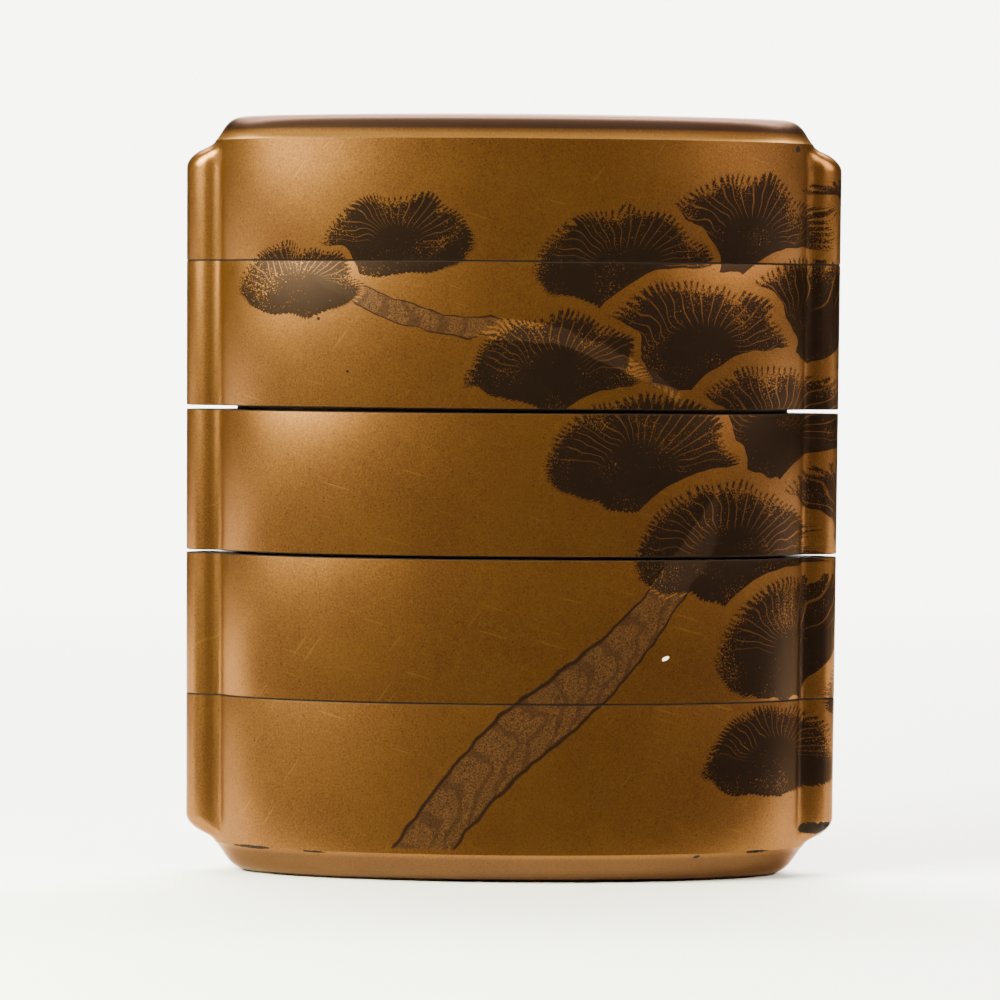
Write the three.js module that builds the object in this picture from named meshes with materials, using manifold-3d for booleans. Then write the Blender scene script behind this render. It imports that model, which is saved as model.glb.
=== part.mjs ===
// An inro: a small tiered case of lacquered wood, four stacked cases and a lid, oval in plan,
// with a half-round cord runner down each end. Millimetres, +Z up, the decorated face towards -Y,
// and the origin under the middle of the base.
import * as THREE from "three";
import { mergeVertices } from "three/addons/utils/BufferGeometryUtils.js";
import Module from "manifold-3d";

const wasm = await Module();
wasm.setup();

// Plan of the body: an ellipse, without the cord runners.
const BODY_HALF_WIDTH = 28.5;
const BODY_HALF_DEPTH = 12;

// Heights of the five bands. A gap is the slit left over a case's rim by a riser that bottoms first.
const BASE_HEIGHT = 16.9;
const CASE_HEIGHT = 13.75;
const LID_HEIGHT = 14.1;
const WIDE_SEAM_GAP = 0.35;
const NARROW_SEAM_GAP = 0.25;

// Ogee mouldings round the top of the lid and the foot of the base.
const LID_MOULDING_RISE = 2.3;
const LID_MOULDING_INSET = 2.8;
const FOOT_MOULDING_RISE = 2.8;
const FOOT_MOULDING_INSET = 3.5;
const LID_CROWN = 0.4;

// How far the whole wall leans in from the top of the lid to the foot.
const FOOT_LEAN = 0.3;

// Cord runners, half-round ribs down the two ends, each with a channel for the cord.
const RUNNER_RADIUS = 2.3;
const RUNNER_OFFSET = 0.4;
const RUNNER_FILLET = 0.8;
const RUNNER_END_DROP = 2.6;
const CHANNEL_RADIUS = 1.1;

// Walls. A riser is the thin collar that stands over a case's rim and fits the socket above it.
const SOCKET_END_WALL = 2.1;
const SOCKET_FACE_WALL = 1.45;
const RISER_PLAY = 0.15;
const RISER_WALL = 0.9;
const RISER_HEIGHT = 5;
const CASE_FLOOR = 1.2;
const BASE_FLOOR = 2;
const LID_CEILING = 1.8;
const CAVITY_CORNER = 0.8;
const RIM_EASE = 0.12;

// How finely the curves are cut.
const FAN_STEPS = 16;
const FACE_STEPS = 12;
const MOULDING_STEPS = 5;
const RUNNER_END_STEPS = 5;
const CHANNEL_SIDES = 16;
const CORNER_STEPS = 2;

// Sizes that follow from those above.
const RUNNER_CENTRE = BODY_HALF_WIDTH + RUNNER_OFFSET;
const RUNNER_REACH = RUNNER_OFFSET + RUNNER_RADIUS;
const SOCKET = { a: BODY_HALF_WIDTH - SOCKET_END_WALL, b: BODY_HALF_DEPTH - SOCKET_FACE_WALL };
const RISER = { a: SOCKET.a - RISER_PLAY, b: SOCKET.b - RISER_PLAY };
const CAVITY = { a: RISER.a - RISER_WALL, b: RISER.b - RISER_WALL };
const TOTAL_HEIGHT = BASE_HEIGHT + 3 * CASE_HEIGHT + LID_HEIGHT;

// Spokes that every outer outline is cut by: straight out through the two faces, and fanned round
// the two ends, closest on the runners, from a root inside the narrowest ring of the moulding.
const SPOKE_ROOT = BODY_HALF_WIDTH - Math.max(LID_MOULDING_INSET, FOOT_MOULDING_INSET) - 1.4;

function spokes() {
  const made = [];
  for (const end of [1, -1]) {
    for (let k = 0; k < FAN_STEPS; k++) {
      const even = (2 * k) / FAN_STEPS - 1;
      const turn = (Math.PI / 2) * (1 - end + 0.6 * even + 0.4 * even ** 3);
      made.push({
        root: new THREE.Vector2(end * SPOKE_ROOT, 0),
        way: new THREE.Vector2(Math.cos(turn), Math.sin(turn)),
      });
    }
    for (let k = 0; k < FACE_STEPS; k++) {
      const across = Math.cos((Math.PI * k) / FACE_STEPS);
      made.push({
        root: new THREE.Vector2(end * SPOKE_ROOT * across, 0),
        way: new THREE.Vector2(0, end),
      });
    }
  }
  return made;
}

// Distance to an ellipse, exact on it and close to it near by.
function ellipseDistance(p, a, b) {
  const near = Math.hypot(p.x / a, p.y / b);
  const steep = Math.hypot(p.x / (a * a), p.y / (b * b));
  return steep > 0 ? (near * (near - 1)) / steep : -b;
}

// Distance to two shapes joined with a hollow fillet between them.
function filletedUnion(first, second, radius) {
  const u = Math.max(radius - first, 0);
  const v = Math.max(radius - second, 0);
  return Math.max(radius, Math.min(first, second)) - Math.hypot(u, v);
}

// Distance to the body's plan, drawn in by inset, with each runner standing out by runnerOut.
function planDistance(p, inset, runnerOut) {
  const body = ellipseDistance(p, BODY_HALF_WIDTH, BODY_HALF_DEPTH) + inset;
  const centre = BODY_HALF_WIDTH + runnerOut - RUNNER_RADIUS;
  const runner = Math.hypot(Math.abs(p.x) - centre, p.y) - RUNNER_RADIUS;
  return filletedUnion(body, runner, RUNNER_FILLET);
}

// The point where a spoke leaves the shape, by halving.
function leave(spoke, distance) {
  let near = 0;
  let far = BODY_HALF_WIDTH + BODY_HALF_DEPTH + RUNNER_REACH;
  const at = (t) => spoke.root.clone().addScaledVector(spoke.way, t);
  for (let k = 0; k < 48; k++) {
    const mid = (near + far) / 2;
    if (distance(at(mid)) < 0) near = mid;
    else far = mid;
  }
  return at(far);
}

const SPOKES = spokes();

// The same turns round the body, for the plain ellipses inside.
const TURNS = SPOKES.map((spoke) => {
  const p = leave(spoke, (q) => ellipseDistance(q, BODY_HALF_WIDTH, BODY_HALF_DEPTH));
  return Math.atan2(p.y / BODY_HALF_DEPTH, p.x / BODY_HALF_WIDTH);
});

// A runner that stands out less than this no longer marks the body, even through its fillet.
const RUNNER_GONE = -RUNNER_FILLET;

// A ring is a level loop of points. A single point closes the shape on its axis.
function outerRing(z, inset = 0, runnerOut = RUNNER_REACH) {
  const lean = FOOT_LEAN * (1 - z / TOTAL_HEIGHT);
  return SPOKES.map((spoke) => {
    const p = leave(spoke, (q) => planDistance(q, inset + lean, runnerOut - lean));
    return new THREE.Vector3(p.x, p.y, z);
  });
}

function ellipseRing(z, { a, b }, inset = 0) {
  return TURNS.map((t) => new THREE.Vector3((a - inset) * Math.cos(t), (b - inset) * Math.sin(t), z));
}

const pole = (z) => [new THREE.Vector3(0, 0, z)];

// An ogee, as inset and rise over the edge of the upright wall.
function mouldingRings(edgeZ, up, inset, rise) {
  const ogee = new THREE.CubicBezierCurve(
    new THREE.Vector2(0, 0),
    new THREE.Vector2(0.3 * inset, 0.34 * rise),
    new THREE.Vector2(0.34 * inset, 0.97 * rise),
    new THREE.Vector2(inset, rise),
  );
  return ogee.getPoints(MOULDING_STEPS).map((p) => outerRing(edgeZ + up * p.y, p.x, RUNNER_GONE - p.x));
}

// The sloped end of the runners, from full height to flush with the edge of the moulding.
function runnerEndRings(edgeZ, up) {
  const slope = new THREE.CubicBezierCurve(
    new THREE.Vector2(RUNNER_REACH, RUNNER_END_DROP),
    new THREE.Vector2(RUNNER_REACH, 0.62 * RUNNER_END_DROP),
    new THREE.Vector2(0.55 * RUNNER_REACH, 0.27 * RUNNER_END_DROP),
    new THREE.Vector2(RUNNER_GONE, 0),
  );
  const rings = slope.getPoints(RUNNER_END_STEPS).map((p) => outerRing(edgeZ - up * p.y, 0, p.x));
  return rings.slice(0, -1);
}

// The upright wall between two levels, with its two rims eased.
function uprightRings(lowZ, highZ) {
  return [
    outerRing(lowZ, RIM_EASE, RUNNER_REACH - RIM_EASE),
    outerRing(lowZ + RIM_EASE),
    outerRing(highZ - RIM_EASE),
    outerRing(highZ, RIM_EASE, RUNNER_REACH - RIM_EASE),
  ];
}

// The underside that takes the riser below: its flat, and the wall down to the rim.
function socketRings(rimZ, seatZ) {
  return [pole(seatZ), ellipseRing(seatZ, SOCKET), ellipseRing(rimZ, SOCKET)];
}

// The cavity's wall down from its mouth and round the corner onto the floor, or up onto a ceiling.
function cavityRings(mouthZ, endZ) {
  const up = Math.sign(endZ - mouthZ);
  const rings = [ellipseRing(mouthZ, CAVITY)];
  for (let k = 0; k <= CORNER_STEPS; k++) {
    const turn = (Math.PI / 2) * (k / CORNER_STEPS);
    const z = endZ - up * CAVITY_CORNER * (1 - Math.sin(turn));
    rings.push(ellipseRing(z, CAVITY, CAVITY_CORNER * (1 - Math.cos(turn))));
  }
  rings.push(pole(endZ));
  return rings;
}

// The riser over a rim at rimZ, then the cavity inside it down to floorZ.
function riserAndCavityRings(rimZ, floorZ) {
  const topZ = rimZ + RISER_HEIGHT;
  return [
    ellipseRing(rimZ, RISER),
    ellipseRing(topZ - RIM_EASE, RISER),
    ellipseRing(topZ, RISER, RIM_EASE),
    ...cavityRings(topZ, floorZ),
  ];
}

// A case from lowZ to its rim. Its flat at seatZ rests on the riser below it.
function caseRings(lowZ, rimZ, seatZ) {
  return [
    ...socketRings(lowZ, seatZ),
    ...uprightRings(lowZ, rimZ),
    ...riserAndCavityRings(rimZ, seatZ + CASE_FLOOR),
  ];
}

// The base: a flat foot, the moulding and the runners' lower ends, then a wall as on a case.
function baseRings(rimZ) {
  const edgeZ = FOOT_MOULDING_RISE;
  return [
    pole(0),
    ...mouldingRings(edgeZ, -1, FOOT_MOULDING_INSET, FOOT_MOULDING_RISE).reverse(),
    ...runnerEndRings(edgeZ, -1).reverse(),
    ...uprightRings(0, rimZ).slice(2),
    ...riserAndCavityRings(rimZ, BASE_FLOOR),
  ];
}

// The lid: the riser below stops on a step inside it, and its top is crowned a little.
function lidRings(lowZ, topZ, stepZ) {
  const edgeZ = topZ - LID_CROWN - LID_MOULDING_RISE;
  return [
    ...cavityRings(stepZ, topZ - LID_CEILING).reverse(),
    ellipseRing(stepZ, SOCKET),
    ellipseRing(lowZ, SOCKET),
    ...uprightRings(lowZ, topZ).slice(0, 2),
    ...runnerEndRings(edgeZ, 1),
    ...mouldingRings(edgeZ, 1, LID_MOULDING_INSET, LID_MOULDING_RISE),
    pole(topZ),
  ];
}

// A closed body from rings in order: up the outside, in over the top and down the inside.
function bodyOfRings(rings) {
  const points = rings.flat();
  const faces = [];
  let start = 0;
  for (let r = 0; r + 1 < rings.length; r++) {
    const [low, high] = [rings[r], rings[r + 1]];
    const next = start + low.length;
    const count = Math.max(low.length, high.length);
    for (let i = 0; i < count; i++) {
      const j = (i + 1) % count;
      if (low.length > 1) faces.push(start + i, start + j, next + (j % high.length));
      if (high.length > 1) faces.push(start + (i % low.length), next + j, next + i);
    }
    start = next;
  }
  const geometry = new THREE.BufferGeometry().setFromPoints(points);
  geometry.setIndex(faces);
  return mergeVertices(geometry, 1e-5);
}

function toSolid(geometry) {
  const triVerts = new Uint32Array(geometry.index.array);
  const vertProperties = geometry.getAttribute("position").array;
  return new wasm.Manifold(new wasm.Mesh({ numProp: 3, vertProperties, triVerts }));
}

function toGeometry(solid) {
  const mesh = solid.getMesh();
  const geometry = new THREE.BufferGeometry();
  geometry.setAttribute("position", new THREE.BufferAttribute(mesh.vertProperties, 3));
  geometry.setIndex(new THREE.BufferAttribute(mesh.triVerts, 1));
  geometry.computeVertexNormals();
  return geometry;
}

// The cord's channel down the runner at x, longer than the stack so that it runs right through.
function channel(x) {
  const length = 2 * TOTAL_HEIGHT;
  const tube = new THREE.CylinderGeometry(CHANNEL_RADIUS, CHANNEL_RADIUS, length, CHANNEL_SIDES);
  tube.rotateX(Math.PI / 2).translate(x, 0, TOTAL_HEIGHT / 2);
  tube.deleteAttribute("normal").deleteAttribute("uv");
  return toSolid(mergeVertices(tube));
}

const CHANNELS = [channel(-RUNNER_CENTRE), channel(RUNNER_CENTRE)];

function tier(name, rings) {
  let solid = toSolid(bodyOfRings(rings));
  for (const tube of CHANNELS) solid = solid.subtract(tube);
  const lacquer = new THREE.MeshStandardMaterial({ color: 0x9a6a2a, roughness: 0.42, metalness: 0.6 });
  const mesh = new THREE.Mesh(toGeometry(solid), lacquer);
  mesh.name = name;
  return mesh;
}

// The stack, from the foot up. Each tier says how wide a slit is left over its rim.
const inro = new THREE.Group();
const cases = [
  { name: "base_case", pitch: BASE_HEIGHT, gap: 0 },
  { name: "lower_case", pitch: CASE_HEIGHT, gap: NARROW_SEAM_GAP },
  { name: "middle_case", pitch: CASE_HEIGHT, gap: WIDE_SEAM_GAP },
  { name: "upper_case", pitch: CASE_HEIGHT, gap: 0 },
];
let lowZ = 0;
let seatZ = 0;
for (const { name, pitch, gap } of cases) {
  const rimZ = lowZ + pitch - gap;
  inro.add(tier(name, lowZ === 0 ? baseRings(rimZ) : caseRings(lowZ, rimZ, seatZ)));
  lowZ += pitch;
  seatZ = rimZ + RISER_HEIGHT;
}
inro.add(tier("lid", lidRings(lowZ, TOTAL_HEIGHT, seatZ)));

export default inro;
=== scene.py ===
"""Inro case, a small tiered box of gold and dark lacquer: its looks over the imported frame.

Every tier is a smooth shell made to the sizes of its solid. It stands for that solid, and is
dressed with lacquer finishes that are worked out in each material from the place on the object.
"""

import json
import logging
import math
from dataclasses import dataclass, field
from enum import IntEnum
from functools import cached_property, reduce
from typing import Any, Callable, Iterable, Mapping, Sequence

import bmesh
import bpy
import numpy as np
from mathutils import Matrix, Vector


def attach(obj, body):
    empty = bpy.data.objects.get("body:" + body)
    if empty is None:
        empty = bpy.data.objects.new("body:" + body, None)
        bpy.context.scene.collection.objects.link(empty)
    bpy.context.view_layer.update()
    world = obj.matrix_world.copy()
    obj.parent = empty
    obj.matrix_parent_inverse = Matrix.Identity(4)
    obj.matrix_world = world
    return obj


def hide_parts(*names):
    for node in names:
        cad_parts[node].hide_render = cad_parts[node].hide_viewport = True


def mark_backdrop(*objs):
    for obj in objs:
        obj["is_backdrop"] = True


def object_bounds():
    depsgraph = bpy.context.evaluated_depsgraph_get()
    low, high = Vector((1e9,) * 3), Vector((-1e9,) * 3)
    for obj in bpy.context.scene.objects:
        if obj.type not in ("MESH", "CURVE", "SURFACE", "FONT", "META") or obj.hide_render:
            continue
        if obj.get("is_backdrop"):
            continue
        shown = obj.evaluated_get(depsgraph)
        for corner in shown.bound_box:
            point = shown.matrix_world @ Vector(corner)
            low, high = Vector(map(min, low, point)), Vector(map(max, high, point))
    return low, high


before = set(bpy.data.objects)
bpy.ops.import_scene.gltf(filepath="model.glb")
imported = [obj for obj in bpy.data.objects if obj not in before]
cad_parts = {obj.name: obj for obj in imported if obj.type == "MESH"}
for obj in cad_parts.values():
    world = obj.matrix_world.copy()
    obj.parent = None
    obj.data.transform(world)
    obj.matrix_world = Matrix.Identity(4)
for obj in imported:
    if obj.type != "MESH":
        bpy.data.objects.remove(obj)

LOG = logging.getLogger("inro")
MM = 0.001
MERGE_DISTANCE = 0.001 * MM
TINY = 1e-9
SHARP_ANGLE = 38.0
OUTSIDE_CLUMPS = (9.0, 9.0, 0.0)

Pair = tuple[float, float]
Colour = tuple[float, float, float]


def srgb(red: int, green: int, blue: int) -> Colour:
    """Turn screen values into the linear ones that nodes take.

    Args:
        red: red, 0 to 255.
        green: green, 0 to 255.
        blue: blue, 0 to 255.

    Returns:
        The colour with linear parts.
    """

    def linear(part: int) -> float:
        """Return one part in linear light."""
        value = part / 255
        return value / 12.92 if value <= 0.04045 else ((value + 0.055) / 1.055) ** 2.4

    return linear(red), linear(green), linear(blue)


def add_object(name: str, data: Any) -> bpy.types.Object:
    """Put a new object into the scene.

    Args:
        name: name of the object.
        data: its mesh, light or camera.

    Returns:
        The object.
    """
    thing = bpy.data.objects.new(name, data)
    bpy.context.scene.collection.objects.link(thing)
    return thing


class Zone(IntEnum):
    """Which finish a face of a tier takes."""

    BARE = 0
    OUTSIDE = 1
    RISER = 2
    INSIDE = 3


@dataclass(frozen=True)
class PlanSizes:
    """Sizes of the oval plan and its two cord runners, in millimetres."""

    half_width: float = 28.5
    half_depth: float = 12.0
    runner_radius: float = 2.3
    runner_offset: float = 0.4
    runner_fillet: float = 0.8
    channel_radius: float = 1.1

    @property
    def runner_reach(self) -> float:
        """How far a runner stands out of the end of the oval."""
        return self.runner_offset + self.runner_radius

    @property
    def runner_centre(self) -> float:
        """Distance from the axis to the middle of a runner and of its channel."""
        return self.half_width + self.runner_offset


@dataclass(frozen=True)
class MouldingSizes:
    """Sizes of one ogee moulding, in millimetres."""

    rise: float
    inset: float


@dataclass(frozen=True)
class EndSizes:
    """Sizes of the lid's top, the foot and the runners' ends, in millimetres.

    The ogee, the runner's end and the dome are shares of those sizes.
    """

    lid: MouldingSizes = MouldingSizes(2.3, 2.8)
    foot: MouldingSizes = MouldingSizes(2.8, 3.5)
    crown: float = 0.4
    runner_end_drop: float = 2.6
    foot_lean: float = 0.3
    spoke_room: float = 1.4
    ogee: Sequence[Pair] = ((0.0, 0.0), (0.3, 0.34), (0.34, 0.97), (1.0, 1.0))
    runner_end: Sequence[Pair] = ((1.0, 1.0), (1.0, 0.62), (0.55, 0.27))
    dome: Sequence[float] = (0.8, 0.6, 0.4, 0.2)


@dataclass(frozen=True)
class WallSizes:
    """Sizes of walls, risers and floors, in millimetres."""

    socket_end_wall: float = 2.1
    socket_face_wall: float = 1.45
    riser_play: float = 0.15
    riser_wall: float = 0.9
    riser_height: float = 5.0
    case_floor: float = 1.2
    base_floor: float = 2.0
    lid_ceiling: float = 1.8
    cavity_corner: float = 0.8
    rim_ease: float = 0.12


@dataclass(frozen=True)
class StackSizes:
    """Heights of the tiers, in millimetres."""

    base_height: float = 16.9
    case_height: float = 13.75
    lid_height: float = 14.1
    wide_seam_gap: float = 0.35
    narrow_seam_gap: float = 0.25

    @property
    def total(self) -> float:
        """Height of the whole stack."""
        return self.base_height + 3 * self.case_height + self.lid_height


@dataclass(frozen=True)
class StepCounts:
    """How finely the shells are drawn: steps along each curve, and halvings for a point."""

    end_fan: int = 84
    face: int = 84
    rim: int = 4
    riser_rim: int = 3
    cavity_corner: int = 6
    moulding: int = 22
    runner_end: int = 24
    halvings: int = 48


PLAN = PlanSizes()
ENDS = EndSizes()
WALLS = WallSizes()
STACK = StackSizes()
STEPS = StepCounts()


@dataclass(frozen=True)
class Oval:
    """Half-axes of one ellipse inside the plan, in millimetres."""

    a: float
    b: float

    def inset(self, by: float) -> "Oval":
        """Return the ellipse drawn in all round by so many millimetres."""
        return Oval(self.a - by, self.b - by)


SOCKET = Oval(PLAN.half_width - WALLS.socket_end_wall, PLAN.half_depth - WALLS.socket_face_wall)
RISER = SOCKET.inset(WALLS.riser_play)
CAVITY = RISER.inset(WALLS.riser_wall)


class PlanCutter:
    """Cuts level rings out of the plan along spokes that start inside it.

    Bunching is how far the fanned spokes crowd towards the middle of their end.
    """

    BUNCHING = 0.4

    def __init__(self, sizes: PlanSizes, root_inset: float) -> None:
        """Lay out the spokes, fanned round each end and straight out of each face.

        Args:
            sizes: sizes of the plan.
            root_inset: how far inside the ends of the oval the end spokes start.
        """
        self.sizes = sizes
        root = sizes.half_width - root_inset
        even = 2 * np.arange(STEPS.end_fan) / STEPS.end_fan - 1
        bunched = (1 - self.BUNCHING) * even + self.BUNCHING * even**3
        across = np.cos(math.pi * np.arange(STEPS.face) / STEPS.face)
        roots, ways = [], []
        for end in (1, -1):
            turn = math.pi / 2 * (1 - end + bunched)
            roots.append(np.tile((end * root, 0.0), (STEPS.end_fan, 1)))
            ways.append(np.stack([np.cos(turn), np.sin(turn)], 1))
            roots.append(np.stack([end * root * across, np.zeros(STEPS.face)], 1))
            ways.append(np.tile((0.0, float(end)), (STEPS.face, 1)))
        self.roots = np.concatenate(roots)
        self.ways = np.concatenate(ways)
        on_oval = self._leave(self._oval_distance)
        self.turns = np.arctan2(on_oval[:, 1] / sizes.half_depth, on_oval[:, 0] / sizes.half_width)

    def _oval_distance(self, points: np.ndarray) -> np.ndarray:
        """Estimate how far points are from the oval.

        Args:
            points: the points, as rows.

        Returns:
            The distance of each, below zero inside.
        """
        a, b = self.sizes.half_width, self.sizes.half_depth
        near = np.hypot(points[:, 0] / a, points[:, 1] / b)
        steep = np.hypot(points[:, 0] / a**2, points[:, 1] / b**2)
        return near * (near - 1) / np.maximum(steep, TINY)

    def _distance(self, points: np.ndarray, inset: float, runner_out: float) -> np.ndarray:
        """Estimate how far points are from the outline.

        Args:
            points: the points, as rows.
            inset: how far the oval is drawn in.
            runner_out: how far the runners stand out of the full oval.

        Returns:
            The distance of each, below zero inside.
        """
        sizes = self.sizes
        body = self._oval_distance(points) + inset
        centre = sizes.half_width + runner_out - sizes.runner_radius
        runner = np.hypot(np.abs(points[:, 0]) - centre, points[:, 1]) - sizes.runner_radius
        fillet = sizes.runner_fillet
        corner = np.hypot(np.maximum(fillet - body, 0), np.maximum(fillet - runner, 0))
        return np.maximum(fillet, np.minimum(body, runner)) - corner

    def _leave(self, distance: Callable[[np.ndarray], np.ndarray]) -> np.ndarray:
        """Find where the spokes leave a shape, by halving.

        Args:
            distance: gives the distance of points from the shape.

        Returns:
            The points, as rows.
        """
        near = np.zeros(len(self.roots))
        far = np.full(len(self.roots), self.sizes.half_width + self.sizes.half_depth)
        for _ in range(STEPS.halvings):
            middle = (near + far) / 2
            inside = distance(self.roots + self.ways * middle[:, None]) < 0
            near = np.where(inside, middle, near)
            far = np.where(inside, far, middle)
        return self.roots + self.ways * far[:, None]

    def outer(self, z: float, inset: float, runner_out: float) -> np.ndarray:
        """Return a ring of the outline, with the oval drawn in and the runners standing out."""
        flat = self._leave(lambda points: self._distance(points, inset, runner_out))
        return np.column_stack([flat, np.full(len(flat), z)])

    def oval(self, z: float, oval: Oval) -> np.ndarray:
        """Return a ring of a plain ellipse, with as many points as the outline."""
        x, y = oval.a * np.cos(self.turns), oval.b * np.sin(self.turns)
        return np.column_stack([x, y, np.full(len(x), z)])


@dataclass
class RingStack:
    """Rings up the outside, in over the top and down the inside, with the zone of each band."""

    rings: list[np.ndarray] = field(default_factory=list)
    zones: list[Zone] = field(default_factory=list)

    def add(self, zone: Zone, *rings: np.ndarray) -> None:
        """Append rings.

        Args:
            zone: finish of the bands that end in these rings.
            rings: the rings, in order.
        """
        for ring in rings:
            self.rings.append(ring)
            self.zones.append(zone)

    def to_mesh(self, name: str) -> bpy.types.Mesh:
        """Join the rings into one closed mesh in metres.

        Args:
            name: name of the mesh.

        Returns:
            The mesh, with a whole number called zone on every face.
        """
        starts = np.cumsum([0] + [len(ring) for ring in self.rings])
        faces: list[tuple[int, ...]] = []
        zones: list[int] = []
        for k, (low, high) in enumerate(zip(self.rings, self.rings[1:])):
            first, second = int(starts[k]), int(starts[k + 1])
            count = max(len(low), len(high))
            for i in range(count):
                j = (i + 1) % count
                below = (first + i % len(low), first + j % len(low))
                above = (second + j % len(high), second + i % len(high))
                faces.append(tuple(dict.fromkeys(below + above)))
                zones.append(int(self.zones[k + 1]))
        mesh = bpy.data.meshes.new(name)
        mesh.from_pydata((np.concatenate(self.rings) * MM).tolist(), [], faces)
        zone = mesh.attributes.new("zone", "INT", "FACE")
        zone.data.foreach_set("value", zones)
        mesh.update()
        return mesh


class Node:
    """Adds any node to a tree from its type, its settings and what goes into its sockets."""

    def __init__(self, tree: bpy.types.NodeTree) -> None:
        """Take a tree and clear it."""
        self.tree = tree
        tree.nodes.clear()

    def add(
        self,
        kind: str,
        settings: Mapping[str, Any] | None = None,
        sockets: Mapping[Any, Any] | None = None,
    ) -> bpy.types.Node:
        """Add one node.

        Args:
            kind: the node's type.
            settings: its properties by name.
            sockets: what goes into its inputs, by name or number: a value, a socket or a Scalar.

        Returns:
            The node.
        """
        node = self.tree.nodes.new(kind)
        for key, value in (settings or {}).items():
            setattr(node, key, value)
        for key, value in (sockets or {}).items():
            source = value.socket if isinstance(value, Scalar) else value
            if isinstance(source, bpy.types.NodeSocket):
                self.tree.links.new(source, node.inputs[key])
            else:
                node.inputs[key].default_value = source
        return node

    def out(self, kind: str, *given: Any, **named: Any) -> bpy.types.NodeSocket:
        """Add one node, as add does, and return its first output."""
        return self.add(kind, *given, **named).outputs[0]


def _operator(operation: str, swapped: bool = False) -> Callable[["Scalar", Any], "Scalar"]:
    """Make the method of one arithmetic operator.

    Args:
        operation: operation of the maths node.
        swapped: whether the other number comes first, as in the reflected form.

    Returns:
        The method.
    """

    def method(self: "Scalar", other: Any) -> "Scalar":
        """Return the result of the operation."""
        return self.maths(operation, *((other, self) if swapped else (self, other)))

    return method


@dataclass(frozen=True, eq=False)
class Scalar:
    """A number in a node tree. Its arithmetic adds maths nodes."""

    nodes: Node
    socket: bpy.types.NodeSocket

    __add__, __radd__ = _operator("ADD"), _operator("ADD", True)
    __sub__, __rsub__ = _operator("SUBTRACT"), _operator("SUBTRACT", True)
    __mul__, __rmul__ = _operator("MULTIPLY"), _operator("MULTIPLY", True)
    __truediv__, __rtruediv__ = _operator("DIVIDE"), _operator("DIVIDE", True)
    __lt__, __gt__ = _operator("LESS_THAN"), _operator("GREATER_THAN")

    def maths(self, operation: str, *values: Any, clamp: bool = False) -> "Scalar":
        """Add a maths node.

        Args:
            operation: its operation.
            values: what goes into it.
            clamp: whether the result is kept between 0 and 1.

        Returns:
            Its result.
        """
        settings = {"operation": operation, "use_clamp": clamp}
        result = self.nodes.out("ShaderNodeMath", settings, dict(enumerate(values)))
        return Scalar(self.nodes, result)

    def __neg__(self) -> "Scalar":
        """Return the number with its sign changed."""
        return self * -1.0

    def __abs__(self) -> "Scalar":
        """Return the number without its sign."""
        return self.maths("ABSOLUTE", self)

    def sine(self) -> "Scalar":
        """Return the sine of this angle in radians."""
        return self.maths("SINE", self)

    def angle_from(self, other: Any) -> "Scalar":
        """Return the angle whose tangent is this over other."""
        return self.maths("ARCTAN2", self, other)

    def most(self, other: Any) -> "Scalar":
        """Return the larger of the two."""
        return self.maths("MAXIMUM", self, other)

    def clamped(self) -> "Scalar":
        """Return this kept between 0 and 1."""
        return self.maths("ADD", self, 0.0, clamp=True)

    def step(self, low: Any, high: Any) -> "Scalar":
        """Return a soft step.

        Args:
            low: where it is 0.
            high: where it is 1.

        Returns:
            A number from 0 to 1.
        """
        settings = {"interpolation_type": "SMOOTHSTEP"}
        sockets = {"Value": self, "From Min": low, "From Max": high}
        return Scalar(self.nodes, self.nodes.out("ShaderNodeMapRange", settings, sockets))

    def band(self, low: float, high: float, soft: float) -> "Scalar":
        """Return 1 between two values and 0 outside them, with edges so soft."""
        half = soft / 2
        return self.step(low - half, low + half) * self.step(high + half, high - half)


def most_of(values: Iterable[Scalar]) -> Scalar:
    """Return the largest of several numbers."""
    return reduce(Scalar.most, values)


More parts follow.
